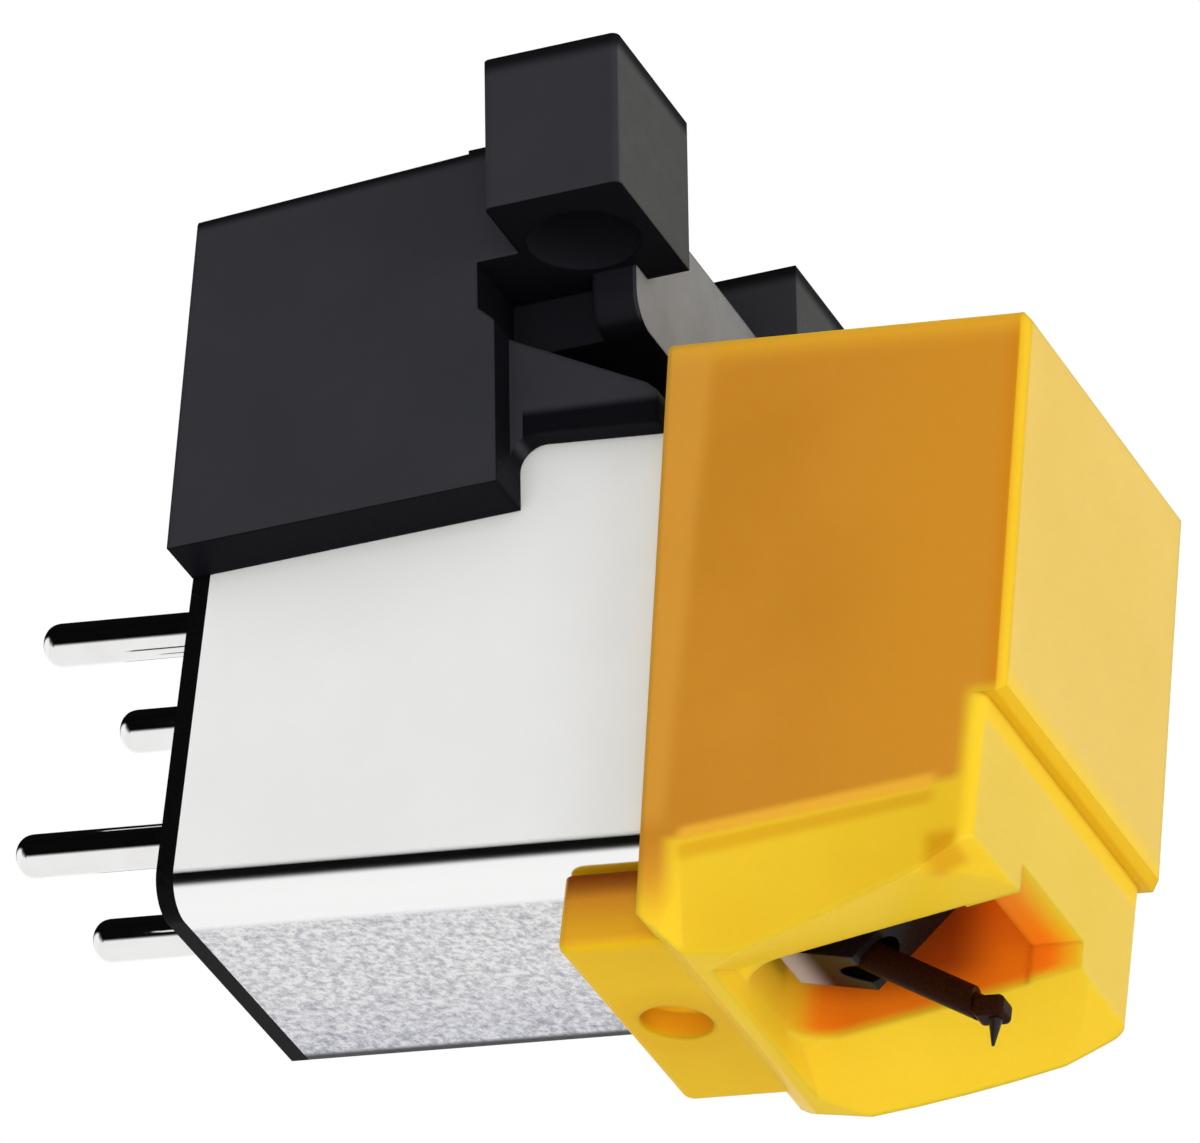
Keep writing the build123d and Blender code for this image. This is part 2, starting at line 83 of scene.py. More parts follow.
def tone(tree, fac, ends, stretch=TONE_RANGE):
    return ramp(tree, fac, *zip(stretch, ends))


def math(tree, operation, *values):
    node = add(tree, "ShaderNodeMath", operation=operation)
    for socket, value in zip(node.inputs, values):
        if isinstance(value, (int, float)):
            socket.default_value = value
        else:
            tree.links.new(value, socket)
    return node.outputs[0]


def smooth(tree, value, low, high):
    node = add(tree, "ShaderNodeMapRange", interpolation_type="SMOOTHSTEP")
    node.inputs["From Min"].default_value = low
    node.inputs["From Max"].default_value = high
    tree.links.new(value, node.inputs["Value"])
    return node.outputs["Result"]


def mix(tree, fac, first, second):
    node = add(tree, "ShaderNodeMix", data_type="RGBA")
    tree.links.new(fac, node.inputs["Factor"])
    for socket, value in ((node.inputs[6], first), (node.inputs[7], second)):
        if isinstance(value, tuple):
            socket.default_value = (*value, 1)
        else:
            tree.links.new(value, socket)
    return node.outputs[2]


def bump(tree, height, strength, distance, normal=None):
    node = add(tree, "ShaderNodeBump")
    node.inputs["Strength"].default_value = strength
    node.inputs["Distance"].default_value = distance * MM
    tree.links.new(height, node.inputs["Height"])
    if normal is not None:
        tree.links.new(normal, node.inputs["Normal"])
    return node.outputs["Normal"]


def rounded(tree, radius):
    node = add(tree, "ShaderNodeBevel", samples=BEVEL_SAMPLES)
    node.inputs["Radius"].default_value = radius * MM
    return node.outputs["Normal"]


def edge_mask(tree, soft_normal, low, high):
    geometry = add(tree, "ShaderNodeNewGeometry")
    dot = add(tree, "ShaderNodeVectorMath", operation="DOT_PRODUCT")
    tree.links.new(soft_normal, dot.inputs[0])
    tree.links.new(geometry.outputs["True Normal"], dot.inputs[1])
    return smooth(tree, dot.outputs["Value"], high, low)


# Masks by place, with their limits in millimetres
def fade(tree, value, ends):
    return smooth(tree, value, ends[0] * MM, ends[1] * MM)


def above(tree, value, limit):
    return math(tree, "GREATER_THAN", value, limit * MM)


def below(tree, value, limit):
    return math(tree, "LESS_THAN", value, limit * MM)


def sloped(tree, value, slope, start):
    return math(tree, "MULTIPLY_ADD", value, slope, start * MM)


def squared_distance(tree, first, second, second_centre):
    offset = math(tree, "SUBTRACT", second, second_centre * MM)
    return math(tree, "ADD", times(tree, first, first), times(tree, offset, offset))


def times(tree, *factors):
    product = factors[0]
    for factor in factors[1:]:
        product = math(tree, "MULTIPLY", product, factor)
    return product


def own_axes(tree):
    tex = add(tree, "ShaderNodeTexCoord")
    place = add(tree, "ShaderNodeSeparateXYZ")
    facing = add(tree, "ShaderNodeSeparateXYZ")
    tree.links.new(tex.outputs["Object"], place.inputs[0])
    tree.links.new(tex.outputs["Normal"], facing.inputs[0])
    return place.outputs, facing.outputs


# Place along the pitched can, forward negative, and height above its floor
def can_axes(tree, place):
    from_rear = math(tree, "SUBTRACT", place["Y"], CAN_REAR_Y * MM)
    from_base = math(tree, "SUBTRACT", place["Z"], CAN_FLOOR_Z * MM)
    level = math(tree, "MULTIPLY", from_rear, COS_PITCH)
    upright = math(tree, "MULTIPLY", from_base, COS_PITCH)
    along = math(tree, "MULTIPLY_ADD", from_base, SIN_PITCH, level)
    rise = math(tree, "MULTIPLY_ADD", from_rear, -SIN_PITCH, upright)
    return along, rise


def dress(mat, *names):
    for name in names:
        obj = nodes[name]
        obj.data.materials.clear()
        obj.data.materials.append(mat)


# Tones of the saddle
SADDLE_TONE = ((0.0330, 0.0335, 0.0395), (0.0370, 0.0375, 0.0440))
# Ear fronts: painted light, paler where the faces turn to the front
EAR_FRONT_LIT_TONE = ((0.067, 0.069, 0.069), (0.076, 0.078, 0.078))
# Plate between the ears: a painted sheen, grey on the black moulding
PLATE_PAINTED_SHEEN = ((0.25, 0.25, 0.257), (0.29, 0.29, 0.298))
# Edges: a painted highlight, lighter than the moulding
SADDLE_EDGE_HIGHLIGHT = (0.042, 0.042, 0.047)
# Rims: painted shade
RIM_SHADE_BLACK = (0.007, 0.007, 0.008)
# Bore and the space behind the plate: painted shade
RECESS_SHADE_BLACK = (0.0130, 0.0126, 0.0165)
# Undersides, skirt front and the strip over the can: painted shade
UNDER_SHADE_BLACK = (0.0052, 0.0050, 0.0070)
# Places on the saddle in millimetres, pairs are fades
EAR_Y = -1.5
EAR_RIM = (-0.55, -0.15)
PLATE_Y = -0.8
PLATE_REACH = 0.08
PLATE_BACK_Y = -0.7
PLATE_HALF_WIDTH = 4.75
ROOF_Z = -1.9
SKIRT_Y = 2.0
SKIRT_FRONT_Y = 1.8
SKIRT_SLOPE = -0.0427
SKIRT_TOP_Z = -0.9
SKIRT_RIM = (-0.45, -0.15)
BORE_X = 6.35
BORE_REACH = 1.4832
BORE_END_Z = -5.5
CAN_TOP_SLOPE = 0.0918
CAN_TOP_Z = -8.734
BESIDE_CAN = (0.2, -0.1)
BESIDE_CAN_Y = 2.1


# Black saddle moulding: ear fronts painted paler as painted light, plate between them painted grey as a
# painted sheen, edges painted lighter as a painted highlight, and rims, undersides and recesses painted
# darker as painted shade
def saddle_moulding():
    mat, tree, bsdf = new_material("saddle_moulding")
    vec = coords(tree)
    place, facing = own_axes(tree)
    grain = noise(tree, vec, 12000, 4)
    soft = rounded(tree, 0.18)
    off_centre = math(tree, "ABSOLUTE", place["X"])
    base = tone(tree, noise(tree, vec, 320, 4), SADDLE_TONE)
    # Painted highlight along the rounded edges
    base = mix(tree, edge_mask(tree, soft, 0.93, 0.999), base, SADDLE_EDGE_HIGHLIGHT)

    front = smooth(tree, facing["Y"], *FACING_FRONT)
    ear_front = times(tree, front, below(tree, place["Y"], EAR_Y))
    # Painted light: the ear fronts paler
    base = mix(tree, ear_front, base, tone(tree, noise(tree, vec, 1500, 4), EAR_FRONT_LIT_TONE))
    # Painted sheen on the plate's front face
    on_plate = math(tree, "COMPARE", place["Y"], PLATE_Y * MM, PLATE_REACH * MM)
    plate_front = times(tree, on_plate, front)
    base = mix(tree, plate_front, base, tone(tree, noise(tree, vec, 900, 3), PLATE_PAINTED_SHEEN))

    # Painted shade along the rims of the skirt and the ears
    skirt_top = math(tree, "MINIMUM", sloped(tree, place["Y"], SKIRT_SLOPE, SKIRT_TOP_Z), 0.0)
    from_top = math(tree, "SUBTRACT", place["Z"], skirt_top)
    skirt_rim = times(tree, fade(tree, from_top, SKIRT_RIM), above(tree, place["Y"], SKIRT_Y))
    rims = math(tree, "MAXIMUM", skirt_rim, fade(tree, place["Z"], EAR_RIM))
    upright = smooth(tree, facing["Z"], *NOT_FACING_UP)
    base = mix(tree, times(tree, rims, upright), base, RIM_SHADE_BLACK)

    # Painted shade in the bore and behind the plate
    from_bore = squared_distance(tree, place["Y"], off_centre, BORE_X)
    near_bore = math(tree, "LESS_THAN", from_bore, (BORE_REACH * MM) ** 2)
    in_bore = times(tree, near_bore, above(tree, place["Z"], BORE_END_Z))
    behind_plate = times(
        tree,
        below(tree, off_centre, PLATE_HALF_WIDTH),
        above(tree, place["Y"], PLATE_BACK_Y),
        below(tree, place["Z"], ROOF_Z),
    )
    base = mix(tree, math(tree, "MAXIMUM", in_bore, behind_plate), base, RECESS_SHADE_BLACK)

    # Painted shade beside the can, on the skirt front and on the undersides
    can_top = sloped(tree, place["Y"], CAN_TOP_SLOPE, CAN_TOP_Z)
    over_can = math(tree, "SUBTRACT", place["Z"], can_top)
    beside_can = times(tree, fade(tree, over_can, BESIDE_CAN), below(tree, place["Y"], BESIDE_CAN_Y))
    skirt_front = times(tree, front, above(tree, place["Y"], SKIRT_FRONT_Y))
    under = smooth(tree, facing["Z"], *FACING_DOWN)
    for mask in (beside_can, skirt_front, under):
        base = mix(tree, mask, base, UNDER_SHADE_BLACK)

    tree.links.new(base, bsdf.inputs["Base Color"])
    bsdf.inputs["Specular IOR Level"].default_value = 0.015
    tree.links.new(tone(tree, grain, (0.42, 0.56)), bsdf.inputs["Roughness"])
    tree.links.new(bump(tree, grain, 0.22, 0.02, soft), bsdf.inputs["Normal"])
    return mat


# Tones of the can, and the stretches of noise that they run over
CAN_SIDE = ((0.890, 0.890, 0.880), (0.920, 0.920, 0.910))
CAN_SIDE_RANGE = (0.35, 0.65)
# Floor tones: painted lighter near the fold and darker towards the far edge, as painted shade
NEAR_FLOOR_LIT = ((0.47, 0.47, 0.52), (1.0, 1.0, 1.0))
FAR_FLOOR_SHADED = ((0.36, 0.36, 0.42), (0.90, 0.90, 0.95))
SPECK_RANGE = (0.34, 0.60)
FOLD_METAL = (0.97, 0.97, 0.965)
FOLD_ROUGHNESS = (0.16, 0.16, 0.16)
# Dark line along the seam: painted shade
SEAM_SHADE_GREY = (0.07, 0.07, 0.08)
# Places across the can in millimetres, and how flat its sides and floor are
FOLD_EDGE = (-3.1, -2.7)
FOLD_RAGGED = 0.6
FLOOR_RUN = (0.0, 4.2)
SEAM = (4.10, 4.40)
FLAT_SIDE = (0.985, 0.998)
FLAT_FLOOR = (-0.93, -0.975)


# Folded sheet: satin sides, polished fold, blasted floor painted lighter near the fold and darker towards
# its far edge as painted shade, with a dark line of painted shade along the seam at its left edge
def can_sheet():
    mat, tree, bsdf = new_material("can_sheet")
    vec = coords(tree)
    place, facing = own_axes(tree)
    tint = noise(tree, vec, 240, 3)
    speck = noise(tree, vec, 4200, 4, 0.75)
    ragged = math(tree, "MULTIPLY_ADD", speck, FOLD_RAGGED * MM, place["X"])
    flat_floor = smooth(tree, facing["Z"], *FLAT_FLOOR)
    under = times(tree, flat_floor, fade(tree, ragged, FOLD_EDGE))
    flat_side = smooth(tree, math(tree, "ABSOLUTE", facing["X"]), *FLAT_SIDE)

    near_floor = tone(tree, speck, NEAR_FLOOR_LIT, SPECK_RANGE)
    far_floor = tone(tree, speck, FAR_FLOOR_SHADED, SPECK_RANGE)
    # Painted shade: the floor darker from the near edge to the far edge
    floor = mix(tree, fade(tree, place["X"], FLOOR_RUN), near_floor, far_floor)
    # Painted shade: a dark line along the seam at the left edge
    floor = mix(tree, fade(tree, place["X"], SEAM), floor, SEAM_SHADE_GREY)
    base = mix(tree, flat_side, FOLD_METAL, tone(tree, tint, CAN_SIDE, CAN_SIDE_RANGE))
    tree.links.new(mix(tree, under, base, floor), bsdf.inputs["Base Color"])
    tree.links.new(math(tree, "SUBTRACT", 1.0, flat_side), bsdf.inputs["Metallic"])
    bsdf.inputs["Specular IOR Level"].default_value = 0.3

    satin = mix(tree, flat_side, FOLD_ROUGHNESS, tone(tree, tint, (0.34, 0.42)))
    rough_floor = tone(tree, speck, (0.40, 0.55))
    tree.links.new(mix(tree, under, satin, rough_floor), bsdf.inputs["Roughness"])
    waves = bump(tree, noise(tree, vec, 330, 2), 0.008, 0.2)
    blasted = bump(tree, times(tree, speck, under), 0.5, 0.03, waves)
    tree.links.new(blasted, bsdf.inputs["Normal"])
    return mat


# Terminal plate: edges painted black as painted shade, its rear face a little paler
# Edges: painted shade
PLATE_EDGE_SHADE = ((0.0025, 0.0025, 0.0030), (0.0045, 0.0045, 0.0050))
PLATE_REAR = ((0.017, 0.017, 0.019), (0.023, 0.023, 0.025))


def plate_moulding():
    mat, tree, bsdf = new_material("plate_moulding")
    vec = coords(tree)
    grain = noise(tree, vec, 9000, 3)
    _, facing = own_axes(tree)
    rear = smooth(tree, facing["Y"], *FACING_REAR)
    # Painted shade on the edges
    edge = tone(tree, grain, PLATE_EDGE_SHADE)
    face = tone(tree, noise(tree, vec, 500, 4), PLATE_REAR)
    tree.links.new(mix(tree, rear, edge, face), bsdf.inputs["Base Color"])
    bsdf.inputs["Specular IOR Level"].default_value = 0.03
    tree.links.new(tone(tree, grain, (0.35, 0.45)), bsdf.inputs["Roughness"])
    tree.links.new(bump(tree, grain, 0.12, 0.01, rounded(tree, 0.05)), bsdf.inputs["Normal"])
    return mat


# Bright plating with fine turning lines
PIN_METAL = ((0.84, 0.83, 0.81), (0.90, 0.90, 0.90))
PIN_STRETCH = (0.1, 1, 0.1)


def plating():
    mat, tree, bsdf = new_material("pin_plating")
    tint = noise(tree, coords(tree), 700, 3)
    turned = noise(tree, coords(tree, PIN_STRETCH), 14000, 2)
    tree.links.new(tone(tree, tint, PIN_METAL), bsdf.inputs["Base Color"])
    bsdf.inputs["Metallic"].default_value = 1.0
    tree.links.new(tone(tree, turned, (0.05, 0.11)), bsdf.inputs["Roughness"])
    tree.links.new(bump(tree, turned, 0.04, 0.01), bsdf.inputs["Normal"])
    return mat


# Where a point of the holder lies, which way it faces, and the clouds in its tones
def holder_spot(tree, vec):
    place, facing = own_axes(tree)
    along, rise = can_axes(tree, place)
    level = math(tree, "MULTIPLY", facing["Y"], COS_PITCH)
    return SimpleNamespace(
        x=place["X"],
        off_centre=math(tree, "ABSOLUTE", place["X"]),
        along=along,
        rise=rise,
        up=facing["Z"],
        front=math(tree, "MULTIPLY_ADD", facing["Z"], SIN_PITCH, level),
        sideways=smooth(tree, math(tree, "ABSOLUTE", facing["X"]), *FACING_SIDE),
        cloud=noise(tree, vec, 170, 4),
    )


# Tones of the holder's front
YELLOW = ((0.84, 0.545, 0.020), (0.88, 0.590, 0.030))
# Front faces paler: painted light
PANEL_FRONT_LIT = ((0.81, 0.545, 0.095), (0.85, 0.590, 0.120))
WALL_FRONT_LIT = ((0.79, 0.545, 0.060), (0.83, 0.585, 0.080))
# Edges: painted highlight
EDGE_HIGHLIGHT_YELLOW = (0.92, 0.64, 0.04)
# Panel's side corner: painted shade
CORNER_SHADE_GOLD = (0.76, 0.41, 0.014)
# Panel's foot: painted light
FOOT_LIT_GOLD = (0.90, 0.60, 0.03)
LEDGE_SHADE = (0.72, 0.42, 0.012)
# Places on the holder's front in millimetres, pairs are fades, and how it faces
PALE_RISE = (2.5, 3.3)
NOSE = (-20.5, -21.2)
PANEL_FOOT = (3.3, 3.9)
FOOT_LIGHT = (4.6, 3.7)
CORNER_X = 5.2
CORNER_RUN = (-21.5, -22.0)
LEDGE_RISE = 2.9
LEDGE_ALONG = -22.2
FACING_NOSE = (-0.90, -0.97)
FACING_LEDGE = (-0.6, -0.85)


# Yellow, painted paler on the front faces as painted light, with a painted highlight on its edges, painted
# shade on the panel's side corner, a painted band of light at the panel's foot, and painted shade on the
# ledge under the panel
def front_tones(tree, spot, edge):
    # Painted light: the front faces paler
    wall_pale = tone(tree, spot.cloud, WALL_FRONT_LIT)
    panel_pale = tone(tree, spot.cloud, PANEL_FRONT_LIT)
    pale = mix(tree, fade(tree, spot.rise, PALE_RISE), wall_pale, panel_pale)
    at_front = times(tree, smooth(tree, spot.front, *FACING_NOSE), fade(tree, spot.along, NOSE))
    base = mix(tree, at_front, tone(tree, spot.cloud, YELLOW), pale)
    # Painted highlight on the edges
    base = mix(tree, edge, base, EDGE_HIGHLIGHT_YELLOW)
    # Painted shade on the panel's side corner
    corner = times(
        tree,
        edge,
        fade(tree, spot.rise, PANEL_FOOT),
        above(tree, spot.off_centre, CORNER_X),
        fade(tree, spot.along, CORNER_RUN),
    )
    base = mix(tree, corner, base, CORNER_SHADE_GOLD)
    over_ledge = above(tree, spot.rise, LEDGE_RISE)
    # Painted light in a band at the panel's foot
    foot = times(tree, over_ledge, fade(tree, spot.rise, FOOT_LIGHT), at_front)
    base = mix(tree, foot, base, FOOT_LIT_GOLD)
    ledge_face = smooth(tree, spot.up, *FACING_LEDGE)
    ledge_under = times(tree, over_ledge, ledge_face, below(tree, spot.along, LEDGE_ALONG))
    return mix(tree, ledge_under, base, LEDGE_SHADE)


# Tones of the holder's side walls
# Side walls over the can: amber painted shade
AMBER_SIDE_SHADE = ((0.59, 0.245, 0.018), (0.66, 0.280, 0.026))
AMBER_SIDE_SHADE_FRONT = (0.68, 0.290, 0.022)
# Line by the panel: painted shadow
AMBER_SHADOW_LINE = (0.66, 0.25, 0.010)
# Top rim: painted light
AMBER_TOP_LIT = (0.90, 0.52, 0.030)
# Rear rim: painted light
AMBER_REAR_LIT = (0.76, 0.37, 0.05)
# Bevel ridge: painted highlight
RIDGE_HIGHLIGHT_GOLD = (0.90, 0.47, 0.040)
# Bevel groove: painted shade
GROOVE_SHADE_BROWN = (0.76, 0.42, 0.014)
# Patch near the bevel's front end: painted shade
HOOK_SHADE_BROWN = (0.68, 0.33, 0.005)
RIM_SHARE = 0.6
HOOK_SHARE = 0.85
# Places on the side walls in millimetres, pairs are fades
OUTER_WALL_X = 5.3
PANEL_LEAN = 0.02974
PANEL_ALONG = -23.274
PANEL_STOP = (0.0, 0.2)
PANEL_LINE = (0.7, 0.2)
WALL_STOP = (-22.45, -21.95)
AMBER_RUN = (-16.5, -21.5)
TOP_RIM = (13.3, 14.3)
REAR_RIM = (-14.6, -14.1)
REAR_RIM_RISE = (0.2, 1.0)
REAR_STRIP = (-14.8, -14.2)
REAR_STRIP_RISE = (-3.0, -0.1)
BEVEL_SLOPE = -0.1409
BEVEL_RISE = -2.035
BEVEL_TOP = (-0.1, 0.3)
BEVEL_FRONT_END = (-21.8, -21.3)
BEVEL_REAR_END = (-14.6, -15.0)
RIDGE_START = (-0.1, 0.1)
RIDGE_END = (0.5, 0.2)
GROOVE_START = (-0.6, -0.3)
GROOVE_END = (0.0, -0.2)
HOOK_X = (-4.4, -5.0)
HOOK_FRONT = (-22.4, -22.1)
HOOK_REAR = (-21.2, -21.7)
HOOK_RISE = (-0.1, -0.5)


# Amber painted shade where the side walls lie over the can, a painted shadow line by the panel, painted
# light along the top and rear rims, a painted highlight ridge and a painted shade groove where the bevel
# starts, and a patch of painted shade near the bevel's front end
def side_tones(tree, spot, base):
    beside_panel = fade(tree, spot.rise, PANEL_FOOT)
    panel_face = sloped(tree, spot.rise, PANEL_LEAN, PANEL_ALONG)
    behind_panel = math(tree, "SUBTRACT", spot.along, panel_face)
    wall_stop = fade(tree, spot.along, WALL_STOP)
    behind_front = mix(tree, beside_panel, wall_stop, fade(tree, behind_panel, PANEL_STOP))
    bevel_start = sloped(tree, spot.along, BEVEL_SLOPE, BEVEL_RISE)
    over_bevel = math(tree, "SUBTRACT", spot.rise, bevel_start)
    outer_wall = times(tree, spot.sideways, above(tree, spot.off_centre, OUTER_WALL_X))
    rear_strip = times(tree, fade(tree, spot.along, REAR_STRIP), fade(tree, spot.rise, REAR_STRIP_RISE))
    main_wall = times(tree, fade(tree, over_bevel, BEVEL_TOP), behind_front)
    over_can = math(tree, "MAXIMUM", main_wall, rear_strip)

    panel_line = times(tree, fade(tree, behind_panel, PANEL_LINE), beside_panel)
    top_rim = fade(tree, spot.rise, TOP_RIM)
    rear_rim = times(tree, fade(tree, spot.along, REAR_RIM), fade(tree, spot.rise, REAR_RIM_RISE))
    # Amber painted shade, with a painted shadow line and painted light along the rims
    amber = tone(tree, spot.cloud, AMBER_SIDE_SHADE)
    amber = mix(tree, fade(tree, spot.along, AMBER_RUN), amber, AMBER_SIDE_SHADE_FRONT)
    amber = mix(tree, panel_line, amber, AMBER_SHADOW_LINE)
    amber = mix(tree, times(tree, top_rim, RIM_SHARE), amber, AMBER_TOP_LIT)
    amber = mix(tree, times(tree, rear_rim, RIM_SHARE), amber, AMBER_REAR_LIT)
    base = mix(tree, times(tree, outer_wall, over_can), base, amber)

    bevel_ends = times(tree, fade(tree, spot.along, BEVEL_FRONT_END), fade(tree, spot.along, BEVEL_REAR_END))
    bevel_run = times(tree, outer_wall, bevel_ends)
    ridge = times(tree, fade(tree, over_bevel, RIDGE_START), fade(tree, over_bevel, RIDGE_END))
    groove = times(tree, fade(tree, over_bevel, GROOVE_START), fade(tree, over_bevel, GROOVE_END))
    # Painted highlight on the ridge, painted shade in the groove below
    base = mix(tree, times(tree, ridge, bevel_run), base, RIDGE_HIGHLIGHT_GOLD)
    base = mix(tree, times(tree, groove, bevel_run), base, GROOVE_SHADE_BROWN)
    # Painted shade near the bevel's front end
    hook = times(
        tree,
        fade(tree, spot.x, HOOK_X),
        fade(tree, spot.along, HOOK_FRONT),
        fade(tree, spot.along, HOOK_REAR),
        fade(tree, spot.rise, HOOK_RISE),
    )
    return mix(tree, times(tree, hook, HOOK_SHARE), base, HOOK_SHADE_BROWN)


# Tones of the tongue under the can
TONGUE = ((0.78, 0.47, 0.008), (0.84, 0.52, 0.012))
# Tongue sides: painted shade, darker upwards
TONGUE_SIDE_SHADE = ((0.0, (0.80, 0.42, 0.02)), (0.7, (0.66, 0.27, 0.02)), (1.0, (0.22, 0.05, 0.004)))
# Dimple: painted shade, dark on one side
DIMPLE_SHADE_TONE = ((0.45, 0.18, 0.003), (0.90, 0.46, 0.012))
# Ring around the dimple: painted shade
HALO_SHADE_GOLD = (0.74, 0.42, 0.006)
HALO_SHARE = 0.6
# Places on the tongue in millimetres, pairs are fades
TONGUE_HALF_WIDTH = 4.7
TONGUE_START = (-15.2, -13.6)
TONGUE_RISE = (-1.9, -0.1)
DIMPLE_ALONG = -12.74
DIMPLE_REACH = 0.9695
DIMPLE_RISE = (-2.1, -1.9)
DIMPLE_RUN = (-0.8, 0.8)
HALO_OUTER = 2.236
HALO_INNER = 1.0


# Deeper yellow on the tongue, its sides darkening upwards as painted shade, and a round dimple painted
# darker on one side as painted shade, with a ring of painted shade around it
def tongue_tones(tree, spot, base):
    in_width = below(tree, spot.off_centre, TONGUE_HALF_WIDTH)
    on_tongue = times(tree, in_width, fade(tree, spot.along, TONGUE_START))
    base = mix(tree, on_tongue, base, tone(tree, spot.cloud, TONGUE))
    # Painted shade on the tongue's sides
    side = ramp(tree, fade(tree, spot.rise, TONGUE_RISE), *TONGUE_SIDE_SHADE)
    base = mix(tree, times(tree, on_tongue, spot.sideways), base, side)
    from_dimple = squared_distance(tree, spot.x, spot.along, DIMPLE_ALONG)
    # Painted shade around the dimple
    halo = smooth(tree, from_dimple, (HALO_OUTER * MM) ** 2, (HALO_INNER * MM) ** 2)
    base = mix(tree, times(tree, halo, HALO_SHARE), base, HALO_SHADE_GOLD)
    near_dimple = math(tree, "LESS_THAN", from_dimple, (DIMPLE_REACH * MM) ** 2)
    in_dimple = times(tree, near_dimple, fade(tree, spot.rise, DIMPLE_RISE))
    # Painted shade across the dimple
    dimple = tone(tree, fade(tree, spot.x, DIMPLE_RUN), DIMPLE_SHADE_TONE, (0.0, 1.0))
    return mix(tree, in_dimple, base, dimple)


# Tones of the pocket around the arm
# Pocket: orange painted shade
POCKET_SHADE_ORANGE = ((0.72, 0.17, 0.006), (0.80, 0.22, 0.010))
# Dark red at the pocket's rear: painted shadow
POCKET_DEEP_SHADOW = (0.40, 0.055, 0.006)
# Emitted light in the pocket: a painted glow
POCKET_PAINTED_GLOW = (0.62, 0.11, 0.003, 1)
GLOW_STRENGTH = 0.3
DEEP_DIMMING = 0.75
# Places in the pocket in millimetres, pairs are fades
LIP_SLOPE = -0.2161
LIP_RISE = -5.215
PAST_LIP = (0.02, 0.4)
POCKET_HALF_WIDTH = 2.34
POCKET_FRONT = (-22.7, -21.6)
POCKET_REAR = (-15.0, -15.8)
POCKET_ROOF = 2.2
DEEP_ALONG = (-20.6, -18.9)
DEEP_RISE = (-0.9, 0.3)


# Orange painted shade inside the pocket, a dark red painted shadow at its rear, and how much it glows as
# painted light
def pocket_tones(tree, spot, base):
    lip = sloped(tree, spot.along, LIP_SLOPE, LIP_RISE)
    in_pocket = times(
        tree,
        fade(tree, math(tree, "SUBTRACT", spot.rise, lip), PAST_LIP),
        below(tree, spot.off_centre, POCKET_HALF_WIDTH),
        fade(tree, spot.along, POCKET_FRONT),
        fade(tree, spot.along, POCKET_REAR),
        below(tree, spot.rise, POCKET_ROOF),
    )
    deep = times(tree, fade(tree, spot.along, DEEP_ALONG), fade(tree, spot.rise, DEEP_RISE))
    # Painted shade in the pocket, a painted shadow at its rear
    pocket = mix(tree, deep, tone(tree, spot.cloud, POCKET_SHADE_ORANGE), POCKET_DEEP_SHADOW)
    # Painted glow, dimmer in the painted shadow
    glow = times(tree, in_pocket, math(tree, "MULTIPLY_ADD", deep, -DEEP_DIMMING, 1.0))
    return mix(tree, in_pocket, base, pocket), glow


# Translucent yellow moulding: painted paler in front as painted light, amber painted shade over the can,
# orange painted shade and a painted glow in the pocket
def yellow_moulding():
    mat, tree, bsdf = new_material("yellow_moulding")
    vec = coords(tree)
    grain = noise(tree, vec, 7000, 3)
    soft = rounded(tree, 0.24)
    spot = holder_spot(tree, vec)
    base = front_tones(tree, spot, edge_mask(tree, soft, 0.90, 0.999))
    base = side_tones(tree, spot, base)
    base = tongue_tones(tree, spot, base)
    base, glow = pocket_tones(tree, spot, base)
    tree.links.new(base, bsdf.inputs["Base Color"])
    # Painted glow in the pocket
    bsdf.inputs["Emission Color"].default_value = POCKET_PAINTED_GLOW
    tree.links.new(times(tree, glow, GLOW_STRENGTH), bsdf.inputs["Emission Strength"])
    bsdf.inputs["Specular IOR Level"].default_value = 0.05
    bsdf.inputs["Subsurface Weight"].default_value = 0.3
    bsdf.inputs["Subsurface Radius"].default_value = (1.0, 0.42, 0.05)
    bsdf.inputs["Subsurface Scale"].default_value = 1.1 * MM
    tree.links.new(tone(tree, grain, (0.30, 0.42)), bsdf.inputs["Roughness"])
    tree.links.new(bump(tree, grain, 0.08, 0.02, soft), bsdf.inputs["Normal"])
    return mat


# Glossy dark block, with a painted highlight in grey on its heel
BLOCK_TONE = ((0.005, 0.004, 0.004), (0.011, 0.008, 0.008))
# Heel: painted highlight
HEEL_HIGHLIGHT_GREY = (0.42, 0.38, 0.39)
HEEL_ALONG = (-16.7, -15.7)


def block_material():
    mat, tree, bsdf = new_material("dark_block")
    grain = noise(tree, coords(tree), 8000, 3)
    place, facing = own_axes(tree)
    along, _ = can_axes(tree, place)
    # Painted highlight on the heel's underside
    heel = times(tree, fade(tree, along, HEEL_ALONG), smooth(tree, facing["Z"], *FACING_DOWN))
    base = mix(tree, heel, tone(tree, grain, BLOCK_TONE), HEEL_HIGHLIGHT_GREY)
    tree.links.new(base, bsdf.inputs["Base Color"])
    bsdf.inputs["Specular IOR Level"].default_value = 0.06
    tree.links.new(tone(tree, grain, (0.15, 0.25)), bsdf.inputs["Roughness"])
    tree.links.new(bump(tree, grain, 0.1, 0.01, rounded(tree, 0.08)), bsdf.inputs["Normal"])
    return mat


# Fine-grained surface in two tones, for the small and the inner pieces
def fine(name, ends, rough, metallic=0.0, specular=0.5, scale=8000):
    mat, tree, bsdf = new_material(name)
    grain = noise(tree, coords(tree), scale, 3)
    tree.links.new(tone(tree, grain, ends), bsdf.inputs["Base Color"])
    tree.links.new(tone(tree, grain, (rough - 0.05, rough + 0.05)), bsdf.inputs["Roughness"])
    bsdf.inputs["Metallic"].default_value = metallic
    bsdf.inputs["Specular IOR Level"].default_value = specular
    tree.links.new(bump(tree, grain, 0.12, 0.01, rounded(tree, 0.05)), bsdf.inputs["Normal"])
    return mat


